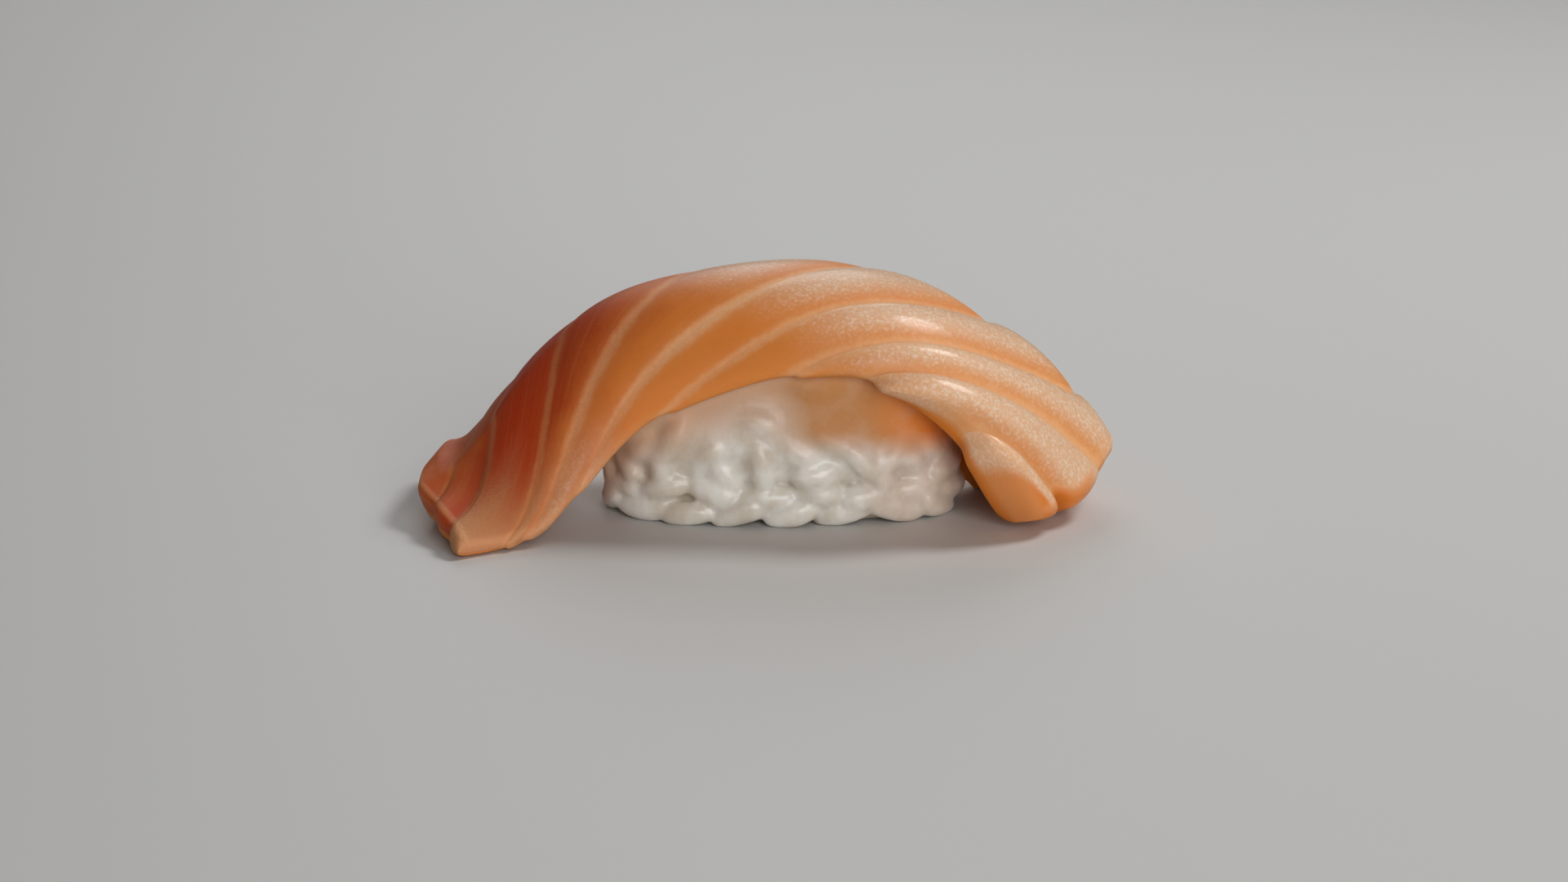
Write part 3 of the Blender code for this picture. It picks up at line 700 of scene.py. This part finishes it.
def slice_looks(a, v, number):
    """Fields of the slice for its material, each for the top and for the underside.

    tone: 0 dark red to 1 pale orange, partly the flesh's own colour and partly painted light and shade: the
    dark left and the darkest band just right of seam 1 are painted shade, the pale right end and the lighter
    lower front flap painted light, and the lowest strip at the left painted shade again. On the underside it
    stays pale orange, a painted glow where the underside lies in shade. pale: how strong the veil beside the
    seams is, partly pale flesh and partly painted sheen where light falls on the crests and the lower left.
    tan: the tan flesh of the left tips, a brownish tint that is partly painted shade. fat and fat_mm: how
    strongly a seam shows and its width. edge: the thin pale rim of every cut edge, a painted rim highlight.
    cut: the cut faces of the ends, partly painted glow of flesh in shade, and on the underside under the lip
    and at the right a painted glow."""
    # Tone from dark red at the left to pale orange at the right: partly the flesh's own colour, partly painted shade
    # at the dark left, darkest just right of seam 1, and painted light at the right.
    tone = np.interp(number, [-1.0, 0.6, 0.95, 1.05, 1.6, 2.5, 3.5, 5.0, 7.0, 9.0],
                     [0.34, 0.28, 0.20, 0.08, 0.06, 0.30, 0.50, 0.62, 0.80, 0.90])
    # The lower front flap is lighter, painted light, and the lowest strip at the left darker, painted shade where the
    # light from the upper right falls off.
    low_left = smooth_step((-0.35 - v) / 0.45) * smooth_step((3.9 - number) / 1.5)
    tone = tone + 0.10 * low_left * ramp(number, 0.95, 1.05) - 0.12 * ramp(v, -0.6, -0.95) * ramp(a, 0.36, 0.28)
    # The veil: partly pale flesh, partly painted sheen, strongest at the right and towards the far top where the light
    # from the upper right falls on the crests, and along the lip.
    pale = 0.95 * ramp(a + 0.25 * (v + 0.6), 0.51, 0.74) * ramp(v, 1.0, 0.2)
    pale = np.maximum(pale, 0.7 * lip(number) * ramp(v, -0.6, -0.8)) * ramp(number, 8.5, 8.3)
    # Painted light over the lower left fan and the front flap, which face the light.
    fan = smooth_step((-0.62 - v) / 0.3) * smooth_step((0.34 - a) / 0.12)
    front_flap = smooth_step((number - 0.97) / 0.05) * smooth_step((2.0 - number) / 0.5)
    pale = np.maximum(pale, np.maximum(0.6 * fan, 0.75 * front_flap * ramp(v, -0.2, -0.7)))
    end = np.clip(1.0 - (0.5 - np.abs(a - 0.5)) / END_ROUND, 0.0, 1.0)
    half_width = np.linalg.norm(guide(NEAR_RIM, a) - guide(CROWN, a), axis=-1)
    rim = np.clip(1.0 - (1.0 - np.abs(v)) * half_width / RIM_ROUND, 0.0, 1.0)
    feather = smooth_step((a - 0.30) / 0.12) * (1.0 - lip(number)) * (v < 0.0)
    # A pale rim along every cut edge, fainter along the near feather edge: a painted rim highlight.
    edge = np.maximum(smooth_step(end / 0.3) * (1.0 - smooth_step((end - 0.45) / 0.3)),
                      smooth_step((rim - 0.2) / 0.6) * (1.0 - 0.8 * feather))
    # Saturated orange on the cut faces of the right end and on the last flake's side face: partly the flesh's colour,
    # partly painted glow of flesh in shade. On the underside the same colour over the lip and the right part is
    # painted glow in the shaded gaps.
    right = ramp(a, 0.5, 0.6)
    flake = ramp(number, 8.2, 8.36)
    end_face = ramp(end, 0.15, 0.5) * ramp(v, -0.2, -0.45)
    cut = np.maximum(np.maximum(ramp(end, 0.5, 0.8), end_face) * right, flake)
    under_cut_and_glow = np.maximum(ramp(end, 0.05, 0.35) * right, np.maximum(0.9 * lip(number), ramp(a, 0.6, 0.8)))
    nothing = np.zeros_like(a)
    # Brownish tan on the lower left tips: partly their tint, partly painted shade where the light from the upper right
    # falls off.
    tan = (0.2 + 0.55 * ramp(number, 2.9, 2.1)) * ramp(v, -0.5, -0.92) * ramp(a, 0.36, 0.26) * ramp(number, 0.98, 1.06)
    # On the underside the tone is held at pale orange or above: painted glow of the shaded underside.
    return {"tone": (tone, np.maximum(tone, 0.7)), "pale": (pale, nothing), "tan": (tan, nothing),
            "fat": (along_seam(FAT_SHOWS, number, v), nothing + 0.3),
            "fat_mm": (along_seam(FAT_WIDE, number, v), nothing + 0.5),
            "edge": (edge, nothing), "cut": (cut, under_cut_and_glow)}


class NIGIRI_OT_slice(bpy.types.Operator):
    """Make the slice of salmon in place of its plain solid"""

    bl_idname = "nigiri.slice"
    bl_label = "Salmon slice"

    def execute(self, context):
        points, faces, fields = slice_surface()
        piece = new_piece("salmon", to_frame(points), faces, flesh_material(context.scene.nigiri_fish))
        for name, values in fields.items():
            add_attribute(piece, name, values)
        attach(piece, "root")
        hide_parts("salmon_slice")
        return {"FINISHED"}


def block_normal(points):
    """Outward unit normals of the rounded block at points on it, given from its middle."""
    size = np.array([RICE_HALF_LENGTH, RICE_HALF_WIDTH, RICE_BELOW])
    normal = np.sign(points) * np.abs(points / size) ** (RICE_SQUARENESS - 1.0) / size
    return normal / np.linalg.norm(normal, axis=1, keepdims=True)


def row_places(level, count, start):
    """Points evenly spaced along the block's outline at one height, from its middle."""
    turn = np.linspace(0.0, 2.0 * math.pi, 721)
    power = 2.0 / RICE_SQUARENESS
    reach = (1.0 - (abs(level - RICE_MIDDLE) / RICE_BELOW) ** RICE_SQUARENESS) ** (1.0 / RICE_SQUARENESS)
    x = RICE_HALF_LENGTH * reach * np.sign(np.cos(turn)) * np.abs(np.cos(turn)) ** power
    y = RICE_HALF_WIDTH * reach * np.sign(np.sin(turn)) * np.abs(np.sin(turn)) ** power
    run = np.concatenate([[0.0], np.cumsum(np.hypot(np.diff(x), np.diff(y)))])
    at = (np.arange(count) + start) / count * run[-1]
    height = np.full(count, level - RICE_MIDDLE)
    return np.stack([np.interp(at, run, x), np.interp(at, run, y), height], axis=1)


def grain_layout(rice):
    """Middles, axes and half sizes of the grains, each lying on the block's surface.

    The two lowest rows run round the block, with grains nearly level and each row's grains over the
    gaps of the one below. Above them a golden spiral spreads the grains evenly, each turned by a
    seeded angle, most of them more along the block than across it.
    """
    rng = np.random.default_rng(rice.seed)
    count = np.arange(rice.grains)
    height = 1.0 - 2.0 * (count + 0.5) / rice.grains
    turn = count * math.pi * (3.0 - math.sqrt(5.0))
    ring = np.sqrt(1.0 - height**2)
    stretch = np.array([RICE_HALF_LENGTH, RICE_HALF_WIDTH, RICE_HEIGHT - RICE_MIDDLE])
    outside = np.stack([ring * np.cos(turn), ring * np.sin(turn), height], axis=1) * stretch
    outside /= np.linalg.norm(outside, axis=1, keepdims=True)
    place = outside * rice_core(outside)[:, None]
    above = place[:, 2] > ROWS_TOP - RICE_MIDDLE
    place, normal = place[above], (outside / stretch)[above]
    normal /= np.linalg.norm(normal, axis=1, keepdims=True)
    rows = [row_places(level, ROW_GRAINS, 0.5 * i) for i, level in enumerate(ROW_LEVELS)]
    place = np.concatenate([place] + rows)
    normal = np.concatenate([normal] + [block_normal(row) for row in rows])
    in_row = np.arange(len(place)) >= above.sum()
    centre = place - normal * (rice.sink + rng.normal(0.0, rice.uneven, len(place)))[:, None]
    centre[:, 2] += in_row * rng.normal(0.0, ROW_UNEVEN, len(place))
    along = np.cross(normal, np.where(in_row[:, None], [0.0, 0.0, 1.0], [0.0, 1.0, 0.15]))
    along /= np.linalg.norm(along, axis=1, keepdims=True)
    across = np.cross(normal, along)
    angle = (rng.normal(0.0, 1.0, len(place)) * np.where(in_row, ROW_TURN, GRAIN_TURN))[:, None]
    long_axis = along * np.cos(angle) + across * np.sin(angle)
    wide_axis = np.cross(normal, long_axis)
    size = np.array(rice.grain_half) * rng.uniform(0.9, 1.1, (len(place), 1))
    return centre + (0.0, 0.0, RICE_MIDDLE), np.stack([long_axis, wide_axis, normal], axis=1), size


def grain_shapes(count, rng):
    """Points of each grain, of unit half sizes, and the faces of one: rings round a length that ends in
    two poles. The radius is the sine of the way along it, raised to make blunt ends; each grain tapers
    and bends by its own seeded amounts."""
    t = (np.arange(GRAIN_RINGS) + 0.6) / (GRAIN_RINGS + 0.2)
    turn = np.arange(GRAIN_SIDES) * 2.0 * math.pi / GRAIN_SIDES
    radius = np.sin(math.pi * t) ** 0.72
    x = -np.cos(math.pi * t)
    rings = np.stack(np.broadcast_arrays(x[:, None], radius[:, None] * np.cos(turn),
                                         radius[:, None] * np.sin(turn)), axis=-1).reshape(-1, 3)
    one = np.concatenate([rings, [[-1.0, 0.0, 0.0], [1.0, 0.0, 0.0]]])
    points = np.repeat(one[None], count, axis=0)
    taper, bend, lean = (rng.normal(0.0, spread, (count, 1)) for spread in (0.14, 0.22, 0.18))
    points[..., 1:] *= (1.0 - taper * points[..., 0])[..., None]
    points[..., 2] -= (0.22 + bend) * (points[..., 0] ** 2 - 0.4)
    points[..., 1] += lean * (points[..., 0] ** 2 - 0.4)
    ring = np.arange(GRAIN_RINGS * GRAIN_SIDES).reshape(GRAIN_RINGS, GRAIN_SIDES)
    after = np.roll(ring, -1, axis=1)
    quads = np.stack([ring[:-1], after[:-1], after[1:], ring[1:]], axis=-1).reshape(-1, 4)[:, ::-1]
    first, last = len(one) - 2, len(one) - 1
    caps = np.concatenate([np.stack([np.full(GRAIN_SIDES, first), ring[0], after[0]], axis=1)[:, ::-1],
                           np.stack([np.full(GRAIN_SIDES, last), after[-1], ring[-1]], axis=1)[:, ::-1]])
    return points, quads, caps


def far_rim_distance(points):
    """Distance in millimetres from points to the slice's far rim."""
    t = np.linspace(0.1, 0.9, 120)
    rim = underside(t, np.full(120, 0.98))
    gap = np.full(len(points), np.inf)
    for start in range(0, len(points), 4000):
        part = points[start:start + 4000]
        gap[start:start + 4000] = np.linalg.norm(part[:, None] - rim[None], axis=2).min(1)
    return gap


def rice_fields(points, deep):
    """Fields of the rice for its material. deep: a share that darkens the hollows between the grains, painted
    shade. stain: painted reflection of the fish's colour and painted shade on the rice below its rims, deep
    under the lip and shallow on the left, faint over the right end and along the far rim. rich: 1 where that
    painted glow is deep orange, under the lip."""
    x, y, z = points.T
    rim = middle(np.linspace(0.0, 1.0, 200), np.full(200, -1.0))
    down = np.interp(x, rim[:, 0], rim[:, 2]) - z
    right = ramp(x, -3.0, 5.0)
    # Painted reflection of the fish's colour and painted shade on the rice below the near rim, shallow at the left and
    # deep under the lip.
    stain = 0.7 * (1.0 - right) * ramp(down, 9.0, 0.5) * ramp(y, 1.0, -3.0)
    stain = stain + right * ramp(z, 6.5, 11.5 + 1.5 * ramp(x, 15.0, 8.0)) * ramp(down, 12.0, 7.5) * ramp(y, 9.0, 5.0)
    # Faint painted shade over the right end, and painted reflection along the far rim.
    stain = np.maximum(stain, 0.20 * ramp(x, 7.0, 14.0))
    stain = np.maximum(stain, 0.7 * np.exp(-(far_rim_distance(points) / 2.0) ** 2))
    return {"deep": deep, "stain": stain, "rich": ramp(x, 8.0, 18.0) * ramp(down, 9.0, 4.0)}


def fuse(points, faces, voxel):
    """One closed skin round overlapping closed shapes: its points, its quads and its edges."""
    mesh = bpy.data.meshes.new("loose")
    mesh.from_pydata(points, [], faces)
    loose = bpy.data.objects.new("loose", mesh)
    bpy.context.scene.collection.objects.link(loose)
    skin = loose.modifiers.new("skin", "REMESH")
    skin.mode = "VOXEL"
    skin.voxel_size = voxel
    graph = bpy.context.evaluated_depsgraph_get()
    made = bpy.data.meshes.new_from_object(loose.evaluated_get(graph))
    co = np.empty(len(made.vertices) * 3, np.float32)
    quads = np.empty(len(made.loops), np.int32)
    edges = np.empty(len(made.edges) * 2, np.int32)
    made.vertices.foreach_get("co", co)
    made.loops.foreach_get("vertex_index", quads)
    made.edges.foreach_get("vertices", edges)
    bpy.data.objects.remove(loose, do_unlink=True)
    bpy.data.meshes.remove(mesh)
    bpy.data.meshes.remove(made)
    return co.reshape(-1, 3).astype(float), quads.reshape(-1, 4), edges.reshape(-1, 2)


def soften(points, edges, amount, rounds):
    """Moves each point towards the mean of its neighbours by its own amount, several times."""
    ends = np.concatenate([edges, edges[:, ::-1]])
    count = np.bincount(ends[:, 0], minlength=len(points))[:, None]
    for _ in range(rounds):
        total = np.stack([np.bincount(ends[:, 0], points[ends[:, 1], axis], len(points)) for axis in range(3)],
                         axis=1)
        points = points + (total / count - points) * amount[:, None]
    return points


class NIGIRI_OT_rice(bpy.types.Operator):
    """Make the grains of rice, stuck to the core under them, in place of the rice's plain solid"""

    bl_idname = "nigiri.rice"
    bl_label = "Rice"

    def execute(self, context):
        rice = context.scene.nigiri_rice
        core, core_faces = self.core(rice)
        grains, grain_faces = self.grains(rice)
        faces = core_faces + (grain_faces[0] + len(core)).tolist() + (grain_faces[1] + len(core)).tolist()
        points, quads, edges = fuse(np.concatenate([core, grains]), faces, rice.voxel)
        block = points - (0.0, 0.0, RICE_MIDDLE)
        reach = np.linalg.norm(block, axis=1)
        depth = rice_core(block / reach[:, None]) - reach
        fused = ramp(points[:, 2], 4.0, 9.0)
        hazy = rice_fields(points, depth)["stain"]
        points = soften(points, edges, np.clip(0.02 + 0.35 * fused + 0.7 * hazy, 0.0, 0.85), rice.softening)
        points = press(points, 0.1)
        piece = new_piece("rice_grains", to_frame(points), quads, rice_material(rice))
        # The hollows between the grains are darkened, less where the grains are fused: painted shade.
        for name, values in rice_fields(points, ramp(depth, 0.4, 1.7) * (1.0 - 0.7 * fused)).items():
            add_attribute(piece, name, values)
        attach(piece, "root")
        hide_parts("rice_ball")
        return {"FINISHED"}

    def core(self, rice):
        """The block, inset a little at the top and more at the foot: rings from pole to pole."""
        rings, sides = 60, 120
        polar = np.linspace(0.0, math.pi, rings + 1)[1:-1]
        turn = np.arange(sides) * 2.0 * math.pi / sides
        direction = np.stack(np.broadcast_arrays(
            1.6 * np.sin(polar)[:, None] * np.cos(turn), np.sin(polar)[:, None] * np.sin(turn),
            0.8 * np.cos(polar)[:, None]), axis=-1).reshape(-1, 3)
        direction = np.concatenate([direction, [[0.0, 0.0, 1.0], [0.0, 0.0, -1.0]]])
        direction /= np.linalg.norm(direction, axis=1, keepdims=True)
        radius = rice_core(direction)
        level = radius * direction[:, 2] + RICE_MIDDLE
        inset = rice.core_low + (rice.core_high - rice.core_low) * ramp(level, 2.0, 10.0)
        points = direction * (radius - inset)[:, None] + (0.0, 0.0, RICE_MIDDLE)
        points[:, 2] = np.maximum(points[:, 2], 0.4)
        points = press(swell_brow(points), 0.3)
        ring = np.arange((rings - 1) * sides).reshape(rings - 1, sides)
        after = np.roll(ring, -1, axis=1)
        quads = np.stack([ring[:-1], ring[1:], after[1:], after[:-1]], axis=-1).reshape(-1, 4)
        top, bottom = len(points) - 2, len(points) - 1
        caps = [(top, i, j) for i, j in zip(ring[0], after[0])]
        caps += [(bottom, j, i) for i, j in zip(ring[-1], after[-1])]
        return points, quads.tolist() + caps

    def grains(self, rice):
        """All the grains, without those that lie inside or over the fish."""
        centre, axes, size = grain_layout(rice)
        height, _, covered = under_slice(centre)
        stain = rice_fields(centre, height)["stain"]
        keep = ((covered < 0.5) | (height < -0.5)) & (stain < 0.62)
        centre, axes, size = centre[keep], axes[keep], size[keep]
        shapes, quads, caps = grain_shapes(len(centre), np.random.default_rng(rice.seed + 1))
        points = centre[:, None] + np.einsum("gvk,gkx->gvx", shapes * size[:, None], axes)
        points[..., 2] += np.maximum(0.0, -0.25 - points[..., 2].min(axis=1))[:, None]
        offset = (np.arange(len(centre)) * shapes.shape[1])[:, None, None]
        return (press(points.reshape(-1, 3), 0.3), ((quads[None] + offset).reshape(-1, 4),
                                                    (caps[None] + offset).reshape(-1, 3)))


class NIGIRI_OT_stage(bpy.types.Operator):
    """Make the floor, the lights and the camera"""

    bl_idname = "nigiri.stage"
    bl_label = "Studio"

    def execute(self, context):
        stage = context.scene.nigiri_stage
        target = Vector(to_frame(np.array([[0.5, 0.0, 7.8]]))[0])
        self.floor(stage)
        self.light("key", stage.key, 0.22, target, (0.40, 0.16, 0.52))
        self.light("fill", stage.fill, 0.50, target, (0.22, -0.74, 0.22))
        self.light("rim", stage.rim, 0.45, target, (-0.06, 0.60, 0.38))
        world = bpy.data.worlds.new("studio")
        world.use_nodes = True
        background = world.node_tree.nodes["Background"]
        background.inputs["Color"].default_value = (1.0, 0.99, 0.97, 1.0)
        background.inputs["Strength"].default_value = stage.sky
        context.scene.world = world
        context.scene.view_settings.view_transform = "Standard"
        camera = bpy.data.cameras.new("camera")
        camera.lens = stage.lens
        camera.clip_start = 0.01
        viewer = bpy.data.objects.new("camera", camera)
        back = Vector((0.0, -math.cos(stage.elevation), math.sin(stage.elevation)))
        viewer.location = target + back * stage.distance
        viewer.rotation_euler = (-back).to_track_quat("-Z", "Y").to_euler()
        context.scene.collection.objects.link(viewer)
        context.scene.camera = viewer
        return {"FINISHED"}

    def floor(self, stage):
        """A round floor that turns up at its edge: a flat disc, then a quarter arc, swept round."""
        flat, arc, sides = 1.2, 0.5, 96
        bend = np.linspace(0.0, math.pi / 2.0, 13)
        radius = np.concatenate([[0.15, 0.5], flat + arc * np.sin(bend)])
        height = np.concatenate([[0.0, 0.0], arc * (1.0 - np.cos(bend))])
        turn = np.arange(sides) * 2.0 * math.pi / sides
        points = np.stack(np.broadcast_arrays(radius[:, None] * np.cos(turn), radius[:, None] * np.sin(turn),
                                              height[:, None]), axis=-1).reshape(-1, 3)
        points = np.concatenate([points, [[0.0, 0.0, 0.0]]])
        ring = np.arange(len(radius) * sides).reshape(len(radius), sides)
        after = np.roll(ring, -1, axis=1)
        quads = np.stack([ring[:-1], ring[1:], after[1:], after[:-1]], axis=-1).reshape(-1, 4)
        middle_fan = [(len(points) - 1, i, j) for i, j in zip(ring[0], after[0])]
        material, _, shader = new_material("floor")
        plug(shader, Base_Color=(*stage.floor_colour, 1.0), Roughness=0.6)
        floor = new_piece("floor", points, quads.tolist() + middle_fan, material)

    def light(self, name, power, size, target, place):
        lamp = bpy.data.lights.new(name, "AREA")
        lamp.shape = "DISK"
        lamp.size = size
        lamp.energy = power
        thing = bpy.data.objects.new(name, lamp)
        thing.location = target + Vector(place)
        thing.rotation_euler = (-Vector(place)).to_track_quat("-Z", "Y").to_euler()
        bpy.context.scene.collection.objects.link(thing)


class NIGIRI_PT_panel(bpy.types.Panel):
    """Buttons for each piece, and the settings they use"""

    bl_idname = "NIGIRI_PT_panel"
    bl_label = "Salmon nigiri"
    bl_space_type = "VIEW_3D"
    bl_region_type = "UI"
    bl_category = "Nigiri"

    def draw(self, context):
        layout = self.layout
        for operator, group in OPERATORS:
            layout.operator(operator)
            settings = getattr(context.scene, group)
            for name in settings.bl_rna.properties.keys():
                if name not in {"name", "rna_type"}:
                    layout.prop(settings, name)


OPERATORS = [("nigiri.slice", "nigiri_fish"), ("nigiri.rice", "nigiri_rice"), ("nigiri.stage", "nigiri_stage")]
SETTINGS = {"nigiri_fish": FishSettings, "nigiri_rice": RiceSettings, "nigiri_stage": StageSettings}
CLASSES = [FishSettings, RiceSettings, StageSettings, NIGIRI_OT_slice, NIGIRI_OT_rice, NIGIRI_OT_stage,
           NIGIRI_PT_panel]


def register():
    for cls in CLASSES:
        bpy.utils.register_class(cls)
    for name, group in SETTINGS.items():
        setattr(bpy.types.Scene, name, PointerProperty(type=group))


def unregister():
    for name in SETTINGS:
        delattr(bpy.types.Scene, name)
    for cls in reversed(CLASSES):
        bpy.utils.unregister_class(cls)


def main():
    register()
    bpy.ops.nigiri.slice()
    bpy.ops.nigiri.rice()
    bpy.ops.nigiri.stage()


if __name__ == "__main__":
    main()
